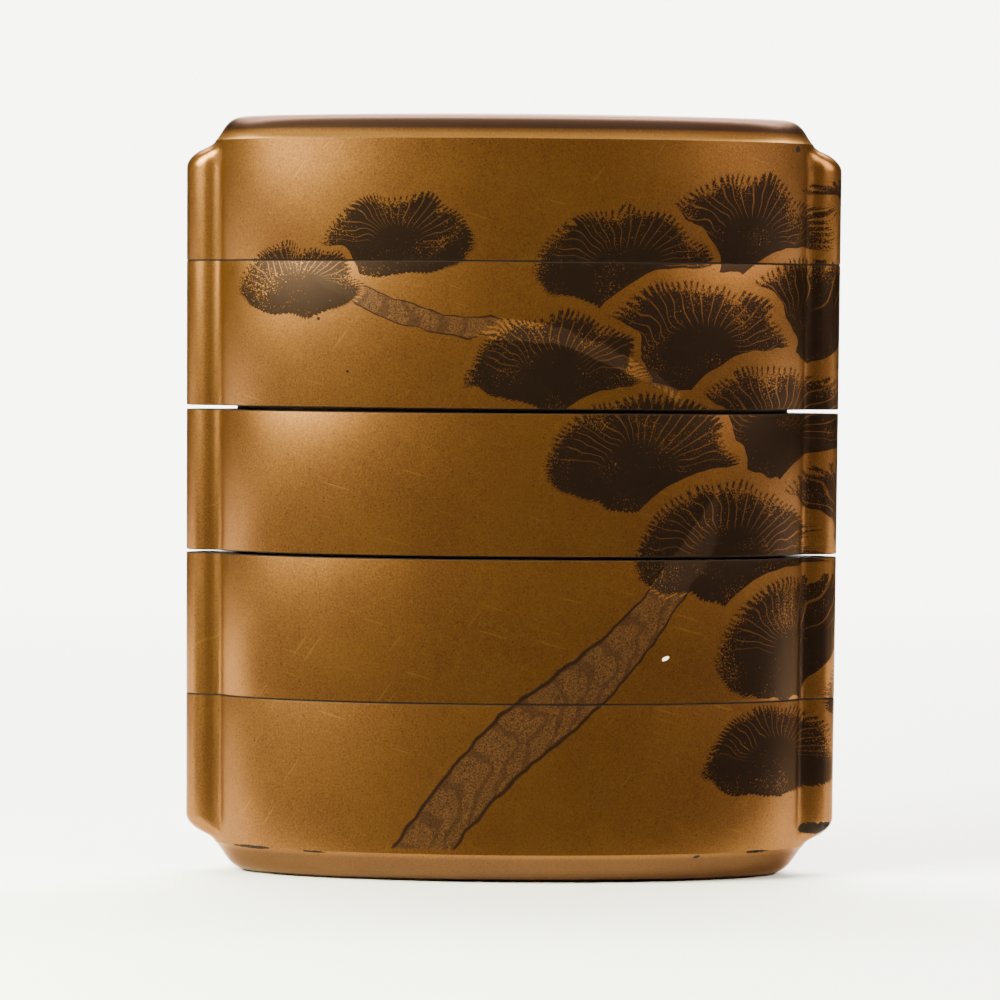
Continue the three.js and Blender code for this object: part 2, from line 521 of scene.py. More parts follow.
class LacquerShader:
    """A material's tree with the things that every lacquer finish shares."""

    MIX_SOCKETS = {"FLOAT": (2, 0), "VECTOR": (4, 1), "RGBA": (6, 2)}
    WAY_ROUND = (21.10, 4.12, 0.21)

    def __init__(self, name: str) -> None:
        """Make the material.

        Args:
            name: name of the material.
        """
        self.material = bpy.data.materials.new(name)
        self.material.use_nodes = True
        self.nodes = Node(self.material.node_tree)
        place = self.nodes.add("ShaderNodeTexCoord")
        self.place = self.vector("SCALE", place.outputs["Object"], Scale=1 / MM)
        parts = self.nodes.add("ShaderNodeSeparateXYZ", sockets={0: self.place})
        self.x, self.y, self.z = (self.scalar(socket) for socket in parts.outputs)

    def scalar(self, socket: bpy.types.NodeSocket) -> Scalar:
        """Return a socket with arithmetic."""
        return Scalar(self.nodes, socket)

    def vector(self, operation: str, *values: Any, **named: Any) -> bpy.types.NodeSocket:
        """Return a vector worked out from others."""
        sockets = {**dict(enumerate(values)), **named}
        return self.nodes.out("ShaderNodeVectorMath", {"operation": operation}, sockets)

    def flat(self, across: Scalar, up: Scalar) -> bpy.types.NodeSocket:
        """Return a vector from two numbers."""
        return self.nodes.out("ShaderNodeCombineXYZ", sockets={0: across, 1: up})

    def noise(self, vector: Any, scale: float, detail: float, rough: float = 0.5) -> Scalar:
        """Return cloudy noise from 0 to 1, about 0.5 in the middle."""
        sockets = {"Vector": vector, "Scale": scale, "Detail": detail, "Roughness": rough}
        return self.scalar(self.nodes.out("ShaderNodeTexNoise", sockets=sockets))

    def cells(self, scale: float) -> bpy.types.Node:
        """Return a node of cells scattered in space, so many to a millimetre."""
        sockets = {"Vector": self.place, "Scale": scale}
        return self.nodes.add("ShaderNodeTexVoronoi", sockets=sockets)

    def _between(self, kind: str, amount: Any, first: Any, second: Any) -> bpy.types.NodeSocket:
        """Mix two ends of one kind.

        Args:
            kind: data type of the mix node.
            amount: 0 for the first end, 1 for the second.
            first: the first end.
            second: the second end.

        Returns:
            The mix.
        """
        start, result = self.MIX_SOCKETS[kind]
        sockets = {0: amount, start: first, start + 1: second}
        return self.nodes.add("ShaderNodeMix", {"data_type": kind}, sockets).outputs[result]

    def mix(self, amount: Any, first: Any, second: Any) -> bpy.types.NodeSocket:
        """Return a colour between two colours."""
        ends = [(*c, 1.0) if isinstance(c, tuple) else c for c in (first, second)]
        return self._between("RGBA", amount, *ends)

    def blend(self, amount: Any, first: Any, second: Any) -> Scalar:
        """Return a number between two numbers."""
        return self.scalar(self._between("FLOAT", amount, first, second))

    def choose(self, amount: Scalar, first: Any, second: Any) -> bpy.types.NodeSocket:
        """Return a vector between two vectors."""
        return self._between("VECTOR", amount, first, second)

    def length(self, vector: Any) -> Scalar:
        """Return the length of a vector."""
        node = self.nodes.add("ShaderNodeVectorMath", {"operation": "LENGTH"}, {0: vector})
        return self.scalar(node.outputs["Value"])

    @cached_property
    def around(self) -> Scalar:
        """Work out the way round the body, as a slope and two waves of the turn.

        Returns:
            Length of wall from the middle of the front to the right, in millimetres.
        """
        slope, wave, ripple = self.WAY_ROUND
        turn = (self.x / PLAN.half_width).angle_from(-self.y / PLAN.half_depth)
        return slope * turn + wave * (turn * 2).sine() - ripple * (turn * 4).sine()

    def finish(
        self, sockets: Mapping[str, Any], height: Scalar | None = None, bump: float = 0.0
    ) -> bpy.types.Material:
        """Join everything to the surface.

        Args:
            sockets: what goes into the surface shader, by socket name.
            height: relief for the bump, in millimetres, or None.
            bump: strength of the bump.

        Returns:
            The material.
        """
        values = dict(sockets)
        if height is not None:
            relief = {"Strength": bump, "Distance": MM, "Height": height}
            values["Normal"] = self.nodes.out("ShaderNodeBump", sockets=relief)
        surface = self.nodes.out("ShaderNodeBsdfPrincipled", sockets=values)
        self.nodes.add("ShaderNodeOutputMaterial", sockets={"Surface": surface})
        return self.material


@dataclass(frozen=True)
class Blot:
    """A worn or chipped place, by its way round the body and its height, in millimetres."""

    around: float
    z: float
    length: float
    height: float

    def depth(self, shader: LacquerShader, lean: float = 0.0) -> Scalar:
        """Work out how far inside the blot each place is.

        Args:
            shader: the material's tree.
            lean: how much the blot leans over.

        Returns:
            1 in its middle, 0 on its edge and less outside it.
        """
        left = (shader.around - self.around) / self.length
        rise = (shader.z - self.z) / self.height
        inside = 1.0 - (left * left + rise * rise)
        return inside + left * rise * lean if lean else inside


@dataclass(frozen=True)
class Clump:
    """A cloud of pine needles: its middle and its half sizes, in millimetres."""

    around: float
    z: float
    half_length: float
    half_height: float


@dataclass(frozen=True)
class Branch:
    """A bough that runs across the wall, in millimetres."""

    start: float
    end: float
    z_at_start: float
    slope: float
    sway: float
    half_width: float


@dataclass(frozen=True)
class PineDesign:
    """The picture on the wall: an old pine, its clumps of needles dark on the gold ground.

    Needle edge and length are shares of a clump's half size. The rest is in millimetres.
    """

    needles: float = 86.0
    spines: float = 43.0
    needle_edge: float = 0.92
    needle_length: float = 0.06
    ragged_around: float = 3.4
    ragged_z: float = 2.6
    fan_squash: float = 1.9
    spine_strength: float = 0.6
    bough_waves: float = 0.21
    bough_taper: float = 0.5
    knots: float = 1.3
    ring_depth: float = 0.55
    clumps: Sequence[Clump] = (
        Clump(34.0, 60.4, 9.4, 6.8),
        Clump(22.6, 59.6, 10.4, 7.8),
        Clump(10.5, 57.2, 9.6, 7.0),
        Clump(30.0, 51.0, 10.8, 8.8),
        Clump(17.6, 49.2, 11.2, 8.6),
        Clump(4.0, 47.6, 9.2, 6.6),
        Clump(38.0, 43.0, 9.2, 9.4),
        Clump(26.0, 41.0, 11.0, 9.2),
        Clump(12.4, 38.8, 10.6, 8.0),
        Clump(34.5, 31.4, 10.4, 9.6),
        Clump(21.5, 30.4, 11.0, 8.6),
        Clump(29.5, 20.8, 10.4, 9.0),
        Clump(38.5, 16.6, 8.2, 7.4),
        Clump(26.5, 11.0, 8.4, 6.4),
        Clump(-11.0, 59.4, 8.0, 5.8),
        Clump(-21.0, 55.4, 7.0, 5.2),
        Clump(50.0, 40.0, 8.6, 6.6),
        Clump(57.0, 35.5, 7.2, 5.6),
        Clump(-51.0, 22.6, 9.2, 6.8),
        Clump(-42.0, 18.6, 7.4, 5.4),
    )
    branches: Sequence[Branch] = (
        Branch(-14.0, 20.0, -4.0, 1.12, 1.7, 4.2),
        Branch(-19.0, 16.0, 57.0, -0.3, 1.2, 1.1),
    )


@dataclass(frozen=True)
class OutsideLacquer:
    """The decorated finish of the outside: gold ground, pine design and wear, with painted shade
    on the lid's bevel and on the foot and a painted highlight along the lip.
    """

    name: str = "gold ground with pine"
    deep_gold: Colour = srgb(58, 20, 8)
    bright_gold: Colour = srgb(150, 102, 40)
    # the paler gold of the painted highlight along the lip and of the scratches
    pale_gold: Colour = srgb(172, 126, 50)
    # brown is both the colour of the painted shade on the lid's bevel and foot and the dark of the
    # bark
    brown: Colour = srgb(45, 26, 12)
    black: Colour = srgb(36, 25, 19)
    line: Colour = srgb(32, 18, 9)
    bark: Colour = srgb(88, 57, 28)
    bare: Colour = srgb(16, 11, 9)
    nicked: Colour = srgb(226, 214, 196)
    design: PineDesign = PineDesign()
    blots: Sequence[Blot] = (
        Blot(-25.9, 2.8, 2.2, 0.17),
        Blot(-19.4, 2.7, 1.3, 0.12),
        Blot(18.7, 2.5, 0.35, 0.16),
        Blot(24.7, 2.8, 1.5, 0.15),
        Blot(28.6, 69.0, 0.4, 0.3),
        Blot(31.2, 4.6, 1.0, 0.6),
        Blot(-18.7, 52.7, 0.16, 0.16),
        Blot(-15.8, 47.8, 0.14, 0.14),
    )
    nick: Blot = Blot(14.9, 21.2, 0.3, 0.22)
    seam_half_width: float = 0.1
    # how strong the painted highlight along the lip is
    lip_highlight_strength: float = 0.2
    scratch_strength: float = 0.14
    # how strong the painted shade on the lid's bevel over the lip is
    shoulder_shade: float = 0.95
    # how strong the painted shade on the foot moulding is
    foot_shade: float = 0.55
    picture_foot: float = 3.3
    picture_top: float = 3.2
    fine_scale: float = 6.5
    grain_scale: float = 5.2
    cloud_scale: float = 0.12
    metallic: float = 0.84
    roughness: float = 0.31
    black_roughness: float = 0.3
    bare_roughness: float = 0.7
    coat: float = 0.22
    relief: float = 0.012

    def _clumps(self, shader: LacquerShader, grain: Scalar) -> tuple[Scalar, Scalar]:
        """Draw the clumps of needles.

        Args:
            shader: the material's tree.
            grain: fine noise.

        Returns:
            Where the clumps are, and how gold each place in them is.
        """
        design, around, z = self.design, shader.around, shader.z
        wobble = shader.noise(shader.flat(around, z), 0.26, 1.5) - 0.5
        ragged_z = z + wobble * design.ragged_z
        ragged = shader.flat(around + wobble * design.ragged_around, ragged_z)
        best: Any = OUTSIDE_CLUMPS
        for clump in design.clumps:
            scale = (1 / clump.half_length, 1 / clump.half_height, 0.0)
            shift = (-clump.around * scale[0], -clump.z * scale[1], 0.0)
            local = shader.vector("MULTIPLY_ADD", ragged, scale, shift)
            below = shader.vector("MULTIPLY", local, (1.0, design.fan_squash, 0.0))
            fan = shader.vector("MINIMUM", local, below)
            best = shader.choose(shader.length(fan) < 1.0, best, fan)
        far = shader.length(best)
        parts = shader.nodes.add("ShaderNodeSeparateXYZ", sockets={0: best})
        turn = shader.scalar(parts.outputs[1]).angle_from(shader.scalar(parts.outputs[0]))
        lift = turn.sine()
        ray = (turn * design.needles + (far + wobble * 3.0) * 4.0).sine()
        edge = design.needle_edge + ray * design.needle_length
        inside = far.step(edge + 0.01, edge - 0.01)
        fringe = far.step(0.76 - lift * 0.1, 1.0)
        needle = (ray + fringe * 1.7).step(1.05, 1.4) * fringe.step(0.08, 0.3)
        gap = ray.step(-0.35, -0.75) * fringe.step(0.2, 0.6)
        spine = (turn * design.spines + wobble * 7.0).sine().step(0.88, 0.98)
        spine = spine * far.band(0.36, 0.76, 0.12) * lift.step(0.0, 0.3)
        drift = grain + fringe * 0.2 + far * far * (0.08 + lift * 0.06)
        dust = (drift + wobble * 0.42).step(0.66, 0.71) * (1.0 - gap)
        return inside, most_of((needle, dust, spine * design.spine_strength)).clamped()

    def _branches(self, shader: LacquerShader, grain: Scalar) -> tuple[Scalar, Scalar, Scalar]:
        """Draw the boughs.

        Args:
            shader: the material's tree.
            grain: fine noise.

        Returns:
            Where they are, where their outlines are and how light their bark is.
        """
        design, around, z = self.design, shader.around, shader.z
        woods, lines, bark = [], [], None
        knots = shader.noise(shader.flat(around, z), 0.42, 1.0) - 0.5
        for branch in design.branches:
            along = (around - branch.start) / (branch.end - branch.start)
            sway = (around * design.bough_waves + branch.z_at_start).sine() * branch.sway
            rise = branch.z_at_start - branch.slope * branch.start
            off = abs(z - (sway + rise + around * branch.slope))
            half = branch.half_width * (1.1 - design.bough_taper * along) + knots * design.knots
            part = off / half
            wood = part.step(1.04, 0.96) * along.band(0.0, 1.0, 0.03)
            rings = (around * 2.6 + off * 1.6 + knots * 9.0).sine().step(0.3, 0.9)
            light = (1.0 - rings * design.ring_depth) * grain.step(0.36, 0.64)
            bark = light if bark is None else shader.blend(wood, bark, light)
            woods.append(wood)
            lines.append(part.band(0.88, 1.02, 0.08) * wood)
        return most_of(woods), most_of(lines), bark

    def _worn(self, shader: LacquerShader) -> Scalar:
        """Return where the lacquer is chipped away."""
        ragged = (shader.noise(shader.place, 2.6, 3.0) - 0.5) * 1.6
        return (most_of(blot.depth(shader) for blot in self.blots) + ragged).step(0.0, 0.25)

    def _nick(self, shader: LacquerShader) -> Scalar:
        """Return where a small nick shows its pale ground."""
        ragged = shader.noise(shader.place, 3.4, 2.0) - 0.5
        return (self.nick.depth(shader, 1.0) + ragged).step(0.0, 0.3)

    def _scratches(self, shader: LacquerShader) -> Scalar:
        """Draw faint straight scratches, a few to each face.

        Args:
            shader: the material's tree.

        Returns:
            Where they are.
        """
        around, z = shader.around, shader.z
        first = shader.flat(around * 0.1 + z * 0.16, z * 1.9 - around * 2.6)
        second = shader.flat(around * 0.16 - z * 0.05, z * 3.2 + around * 0.9)
        return most_of(shader.noise(way, 1.0, 0.0).step(0.8, 0.815) for way in (first, second))

    def _seams(self, shader: LacquerShader) -> Scalar:
        """Draw the dark lines where the tiers meet.

        Args:
            shader: the material's tree.

        Returns:
            Where they are.
        """
        half, lines = self.seam_half_width, []
        for k, gap in enumerate((0.0, STACK.narrow_seam_gap, STACK.wide_seam_gap, 0.0)):
            seam = STACK.base_height + k * STACK.case_height
            lines.append(shader.z.band(seam - gap - half, seam + half, 0.04))
        return most_of(lines)

    def build(self) -> bpy.types.Material:
        """Make the material.

        Returns:
            The material.
        """
        shader = LacquerShader(self.name)
        fine = shader.noise(shader.place, self.fine_scale, 3.0, 0.7)
        grain = shader.scalar(shader.cells(self.grain_scale).outputs["Distance"])
        cloud = shader.noise(shader.place, self.cloud_scale, 4.0)
        speckle = (fine * 0.72 + 0.005 + (grain - 0.5) * 0.12 + (cloud - 0.5) * 0.3).clamped()
        gold = shader.mix(speckle, self.deep_gold, self.bright_gold)
        wall = shader.z.band(self.picture_foot, STACK.total - self.picture_top, 0.3)
        lip = STACK.total - ENDS.crown - ENDS.lid.rise
        # painted highlight: a narrow, ragged paler band just over the lip, where the moulding
        # meets the wall, stands in for a bright edge line
        painted_lip_highlight = (shader.z + fine * 0.3).band(lip + 0.15, lip + 0.75, 0.25)
        # painted shade: the lid's bevel over the lip is mixed most of the way to brown, so it
        # reads dark instead of catching the lamps
        above = shader.z.band(lip + 0.9, lip + 2.4, 0.4) * self.shoulder_shade
        # painted shade: the foot moulding is mixed part of the way to brown, so the bottom reads
        # darker
        below = shader.z.step(ENDS.foot.rise - 0.1, ENDS.foot.rise - 0.6) * self.foot_shade
        # the painted shade of the bevel and the foot is mixed into the gold ground here
        ground = shader.mix(above.most(below), gold, self.brown)
        scratches = self._scratches(shader) * wall * self.scratch_strength
        # the pale mix carries both the painted highlight along the lip and the real scratches
        pale = (painted_lip_highlight * self.lip_highlight_strength).most(scratches)
        ground = shader.mix(pale, ground, self.pale_gold)
        wood, line, bark = self._branches(shader, fine)
        inside, needle = self._clumps(shader, fine)
        wood, inside = wood * wall, inside * wall
        colour = shader.mix(wood, ground, shader.mix(bark, self.brown, self.bark))
        colour = shader.mix(line * wall, colour, self.line)
        clump = shader.mix(needle, self.black, gold)
        colour = shader.mix(inside, colour, clump)
        worn = self._worn(shader).most(self._seams(shader))
        colour = shader.mix(worn, colour, self.bare)
        nick = self._nick(shader)
        colour = shader.mix(nick, colour, self.nicked)
        dark = inside * (1.0 - needle)
        bare = worn.most(nick)
        metal = self.metallic + speckle * 0.14 - wood * 0.25 - dark * 0.1
        rough = shader.blend(dark, self.roughness + (fine - 0.5) * 0.2, self.black_roughness)
        values = {
            "Base Color": colour,
            "Metallic": metal.most(0.0) * (1.0 - bare),
            "Roughness": shader.blend(bare, rough, self.bare_roughness),
            "Coat Weight": self.coat * (1.0 - bare.most(dark)),
            "Coat Roughness": 0.3,
            "Specular IOR Level": 0.18,
            "Specular Tint": (0.72, 0.52, 0.34, 1.0),
        }
        return shader.finish(values, fine * self.relief, 0.6)


@dataclass(frozen=True)
class SprinkledLacquer:
    """Flakes of gold set in brown lacquer, for the insides."""

    name: str = "sprinkled gold inside"
    body: Colour = srgb(74, 32, 15)
    depth: Colour = srgb(42, 18, 10)
    flake: Colour = srgb(206, 158, 84)
    flakes_per_mm: float = 2.2
    cover: float = 0.62

    def build(self) -> bpy.types.Material:
        """Make the material.

        Returns:
            The material.
        """
        shader = LacquerShader(self.name)
        cells = shader.cells(self.flakes_per_mm)
        tint = shader.nodes.add("ShaderNodeSeparateColor", sockets={0: cells.outputs["Color"]})
        chance, size = shader.scalar(tint.outputs[0]), shader.scalar(tint.outputs[1])
        far = shader.scalar(cells.outputs["Distance"])
        flake = (chance < self.cover) * far.step(0.2 + size * 0.22, 0.14 + size * 0.22)
        cloud = shader.noise(shader.place, 0.3, 3.0)
        colour = shader.mix(flake * 0.9, shader.mix(cloud, self.depth, self.body), self.flake)
        values = {
            "Base Color": colour,
            "Metallic": flake * 0.85,
            "Roughness": 0.3 + flake * 0.12 + cloud * 0.1,
            "Coat Weight": 0.4,
            "Coat Roughness": 0.15,
        }
        return shader.finish(values, flake * 0.01, 0.4)


@dataclass(frozen=True)
class PlainLacquer:
    """One plain lacquer with a fine grain, for risers, rims and the walls of the channels."""

    name: str
    low: Colour
    high: Colour
    metallic: float
    roughness: float

    def build(self) -> bpy.types.Material:
        """Make the material.

        Returns:
            The material.
        """
        shader = LacquerShader(self.name)
        fine = shader.noise(shader.place, 7.0, 3.0, 0.7)
        cloud = shader.noise(shader.place, 0.35, 3.0)
        colour = shader.mix((fine * 1.2 + cloud * 0.5 - 0.35).clamped(), self.low, self.high)
        values = {
            "Base Color": colour,
            "Metallic": self.metallic,
            "Roughness": self.roughness + (fine - 0.5) * 0.2,
            "Specular IOR Level": 0.25,
            "Coat Weight": 0.05,
            "Coat Roughness": 0.3,
        }
        return shader.finish(values, fine * 0.01, 0.5)


@dataclass(frozen=True)
class Finishes:
    """The material of each zone of a tier."""

    bare: PlainLacquer = PlainLacquer(
        "dark lacquer in the channels", srgb(15, 10, 8), srgb(32, 21, 13), 0.0, 0.6
    )
    outside: OutsideLacquer = OutsideLacquer()
    riser: PlainLacquer = PlainLacquer(
        "dark gold-dusted riser", srgb(34, 21, 13), srgb(92, 60, 30), 0.3, 0.42
    )
    inside: SprinkledLacquer = SprinkledLacquer()

    def build(self) -> dict[Zone, bpy.types.Material]:
        """Make the material of each zone, which has the zone's name here."""
        return {zone: getattr(self, zone.name.lower()).build() for zone in Zone}


@dataclass(frozen=True)
class Chip:
    """A chip knocked out of an edge: its middle and its half sizes, in millimetres."""

    middle: tuple[float, float, float]
    reach: tuple[float, float, float]


CHIPS: Sequence[Chip] = (
    Chip((-24.4, -5.85, 2.82), (1.9, 0.14, 0.13)),
    Chip((-18.7, -8.78, 2.7), (1.1, 0.12, 0.1)),
    Chip((23.4, -6.5, 2.82), (1.3, 0.14, 0.12)),
    Chip((30.4, -1.5, 4.8), (0.5, 0.6, 0.3)),
)


class ChannelCutter:
    """Geometry Nodes that drill the cord channels, knock out the chips and give the finishes."""

    INPUTS = (
        ("Channel Radius", "NodeSocketFloat", PLAN.channel_radius * MM),
        ("Channel Offset", "NodeSocketFloat", PLAN.runner_centre * MM),
        ("Channel Sides", "NodeSocketInt", 48),
        ("Drill Length", "NodeSocketFloat", 200.0 * MM),
        ("Chip Detail", "NodeSocketInt", 3),
        ("Chip Turn", "NodeSocketFloat", 0.12),
        ("Seed", "NodeSocketInt", 7),
        ("Chips", "NodeSocketObject", None),
    )

    def __init__(self, materials: Mapping[Zone, bpy.types.Material], chips: Any) -> None:
        """Build the tree once for all tiers.

        Args:
            materials: the material of each zone.
            chips: object with a point for every chip, and its half sizes as reach.
        """
        self.tree = bpy.data.node_groups.new("channels and chips", "GeometryNodeTree")
        self.values: dict[str, Any] = {}
        face = self.tree.interface
        for way in ("INPUT", "OUTPUT"):
            face.new_socket("Geometry", in_out=way, socket_type="NodeSocketGeometry")
        finishes = [
            (self._finish_input(zone), "NodeSocketMaterial", material)
            for zone, material in materials.items()
        ]
        for name, kind, value in (*self.INPUTS, *finishes):
            socket = face.new_socket(name, in_out="INPUT", socket_type=kind)
            self.values[socket.identifier] = chips if name == "Chips" else value
        self._wire()

    @staticmethod
    def _finish_input(zone: Zone) -> str:
        """Return the name of the input with the finish of a zone."""
        return f"{zone.name.title()} Finish"

    def _wire(self) -> None:
        """Join the nodes up."""
        nodes = Node(self.tree)
        given = nodes.add("NodeGroupInput").outputs
        offset, turn = (Scalar(nodes, given[name]) for name in ("Channel Offset", "Chip Turn"))
        line = {
            "Count": 2,
            "Start Location": nodes.out("ShaderNodeCombineXYZ", sockets={0: -offset}),
            "Offset": nodes.out("ShaderNodeCombineXYZ", sockets={0: offset * 2.0}),
        }
        drill = {
            "Vertices": given["Channel Sides"],
            "Radius": given["Channel Radius"],
            "Depth": given["Drill Length"],
        }
        drills = {
            "Points": nodes.out("GeometryNodeMeshLine", sockets=line),
            "Instance": nodes.out("GeometryNodeMeshCylinder", sockets=drill),
        }
        chips = nodes.add("GeometryNodeObjectInfo", sockets={"Object": given["Chips"]})
        ball = {"Radius": 1.0, "Subdivisions": given["Chip Detail"]}
        spread = {2: -turn, 3: turn, "Seed": given["Seed"]}
        tilt = nodes.add("FunctionNodeRandomValue", {"data_type": "FLOAT"}, spread).outputs[1]
        bites = {
            "Points": chips.outputs["Geometry"],
            "Instance": nodes.out("GeometryNodeMeshIcoSphere", sockets=ball),
            "Rotation": nodes.out("ShaderNodeCombineXYZ", sockets={1: tilt}),
            "Scale": self._named(nodes, "reach", "FLOAT_VECTOR"),
        }
        tools = nodes.add("GeometryNodeJoinGeometry")
        for copies in (drills, bites):
            copied = nodes.out("GeometryNodeInstanceOnPoints", sockets=copies)
            self.tree.links.new(copied, tools.inputs[0])
        solid = nodes.out("GeometryNodeRealizeInstances", sockets={0: tools.outputs[0]})
        cut = nodes.out(
            "GeometryNodeMeshBoolean",
            {"operation": "DIFFERENCE", "solver": "MANIFOLD"},
            {"Mesh 1": given["Geometry"], "Mesh 2": solid},
        )
        shape = nodes.out("GeometryNodeRealizeInstances", sockets={0: cut})
        zone = self._named(nodes, "zone", "INT")
        equal = {"data_type": "INT", "operation": "EQUAL"}
        for place in Zone:
            dressed = {
                "Geometry": shape,
                "Selection": nodes.out("FunctionNodeCompare", equal, {2: zone, 3: int(place)}),
                "Material": given[self._finish_input(place)],
            }
            shape = nodes.out("GeometryNodeSetMaterial", sockets=dressed)
        nodes.add("NodeGroupOutput", sockets={0: shape})

    @staticmethod
    def _named(nodes: Node, name: str, kind: str) -> bpy.types.NodeSocket:
        """Return a named attribute of one kind."""
        settings = {"data_type": kind}
        return nodes.out("GeometryNodeInputNamedAttribute", settings, {"Name": name})

    def apply(self, piece: bpy.types.Object) -> None:
        """Cut a piece and leave it with a plain mesh.

        Args:
            piece: the shell of one tier.
        """
        modifier = piece.modifiers.new("channels and chips", "NODES")
        modifier.node_group = self.tree
        for identifier, value in self.values.items():
            modifier[identifier] = value
        piece.update_tag()
        bpy.context.view_layer.update()
        cut = piece.evaluated_get(bpy.context.evaluated_depsgraph_get())
        done = bpy.data.meshes.new_from_object(cut)
        piece.modifiers.remove(modifier)
        raw = piece.data
        piece.data = done
        bpy.data.meshes.remove(raw)
        done.name = piece.name
        while done.materials and done.materials[0] is None:
            done.materials.pop(index=0)
        self._merge(done)

    @staticmethod
    def _merge(mesh: bpy.types.Mesh) -> None:
        """Merge doubled points and drop loose ones.

        Args:
            mesh: a cut mesh, which is changed.
        """
        work = bmesh.new()
        work.from_mesh(mesh)
        bmesh.ops.remove_doubles(work, verts=work.verts, dist=MERGE_DISTANCE)
        bmesh.ops.dissolve_degenerate(work, edges=work.edges, dist=MERGE_DISTANCE)
        loose = [point for point in work.verts if not point.link_faces]
        bmesh.ops.delete(work, geom=loose, context="VERTS")
        work.to_mesh(mesh)
        work.free()


def arc(steps: int) -> list[Pair]:
    """Return a quarter turn in steps, as the parts to go and gone, from (1, 0) to (0, 1)."""
    turns = [math.pi / 2 * k / steps for k in range(steps + 1)]
    return [(1 - math.sin(t), 1 - math.cos(t)) for t in turns]


def bezier(points: Sequence[Pair], steps: int) -> np.ndarray:
    """Return points along a cubic curve.

    Args:
        points: its four control points.
        steps: number of steps.

    Returns:
        The points, as rows.
    """
    t = np.linspace(0, 1, steps + 1)[:, None]
    p = np.array(points, dtype=float)
    ends = (1 - t) ** 3 * p[0] + t**3 * p[3]
    return ends + 3 * t * (1 - t) ** 2 * p[1] + 3 * t * t * (1 - t) * p[2]


@dataclass
class Tier:
    """One piece of the stack. Subclasses lay its rings."""

    name: str
    z: float
    height: float
    seat: float
    cutter: PlanCutter

    def _pole(self, z: float) -> np.ndarray:
        """Return the one point of a ring drawn in to the axis."""
        return np.array([[0.0, 0.0, self.z + z]])

    def _outer(self, z: float, inset: float, runner_out: float) -> np.ndarray:
        """Return a ring of the outline, with the slight lean in towards the foot."""
        lean = ENDS.foot_lean * (1 - (self.z + z) / STACK.total)
        return self.cutter.outer(self.z + z, inset + lean, runner_out - lean)

    def _oval(self, z: float, oval: Oval) -> np.ndarray:
        """Return a ring of a plain ellipse at a height above the foot of the tier."""
        return self.cutter.oval(self.z + z, oval)

    def _eased(self, z: float, inward: int) -> list[np.ndarray]:
        """Lay the rings of a rounded rim, from the wall to the flat.

        Args:
            z: height of the rim.
            inward: 1 for an upper rim, -1 for a lower one.

        Returns:
            The rings.
        """
        ease, reach = WALLS.rim_ease, PLAN.runner_reach
        return [
            self._outer(z - inward * ease * to_go, ease * gone, reach - ease * gone)
            for to_go, gone in arc(STEPS.rim)
        ]

    def _moulding(self, edge: float, up: int, sizes: MouldingSizes) -> list[np.ndarray]:
        """Lay the rings of an ogee from its edge to its inner end.

        Args:
            edge: height of its edge.
            up: 1 if it goes up from there, -1 if it goes down.
            sizes: its sizes.

        Returns:
            The rings.
        """
        fillet = PLAN.runner_fillet
        points = [(sizes.inset * part, sizes.rise * gone) for part, gone in ENDS.ogee]
        curve = bezier(points, STEPS.moulding)
        return [self._outer(edge + up * z, by, -fillet - by) for by, z in curve]

    def _runner_end(self, edge: float, up: int) -> list[np.ndarray]:
        """Lay the rings of the sloped ends of the runners, from full height to the moulding.

        Args:
            edge: height of the moulding's edge.
            up: 1 if the moulding is above, -1 if it is below.

        Returns:
            The rings.
        """
        reach, drop = PLAN.runner_reach, ENDS.runner_end_drop
        points = [(part * reach, down * drop) for part, down in ENDS.runner_end]
        curve = bezier([*points, (-PLAN.runner_fillet, 0)], STEPS.runner_end)[:-1]
        return [self._outer(edge - up * down, 0.0, out) for out, down in curve]

    def _hollow(self, mouth: float, end: float) -> list[np.ndarray]:
        """Lay the rings of a cavity from its mouth, round its corner and to its middle.

        Args:
            mouth: height of its mouth.
            end: height of its floor or ceiling.

        Returns:
            The rings.
        """
        up = 1 if end > mouth else -1
        corner = WALLS.cavity_corner
        turn = [
            self._oval(end - up * corner * to_go, CAVITY.inset(corner * gone))
            for to_go, gone in arc(STEPS.cavity_corner)
        ]
        return [self._oval(mouth, CAVITY), *turn, self._pole(end)]

    def _riser(self, stack: RingStack, rim: float, floor: float) -> None:
        """Add the riser over a rim and the cavity inside it.

        Args:
            stack: the rings so far, which are added to.
            rim: height of the rim.
            floor: height of the cavity's floor.
        """
        top, ease = rim + WALLS.riser_height, WALLS.rim_ease
        stack.add(Zone.RISER, self._oval(rim, RISER))
        for to_go, gone in arc(STEPS.riser_rim):
            stack.add(Zone.RISER, self._oval(top - ease * to_go, RISER.inset(ease * gone)))
        mouth, *rest = self._hollow(top, floor)
        stack.add(Zone.RISER, mouth)
        stack.add(Zone.INSIDE, *rest)

    def rings(self) -> RingStack:
        """Return the tier's rings, which each kind of tier lays in its own way."""
        raise NotImplementedError

    def build(self, channels: ChannelCutter) -> bpy.types.Object:
        """Make the tier's finished object.

        Args:
            channels: what cuts it and hands out its finishes.

        Returns:
            The object, at the origin.
        """
        mesh = self.rings().to_mesh(self.name)
        piece = add_object(f"{self.name}_lacquered", mesh)
        channels.apply(piece)
        piece.data.shade_smooth()
        piece.data.set_sharp_from_angle(angle=math.radians(SHARP_ANGLE))
        return piece

    def dress(self, piece: bpy.types.Object) -> None:
        """Tell the frame what the piece is.

        Args:
            piece: the tier's object.
        """
        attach(piece, "root")
        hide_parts(self.name)
        LOG.info("%s: %d faces", self.name, len(piece.data.polygons))


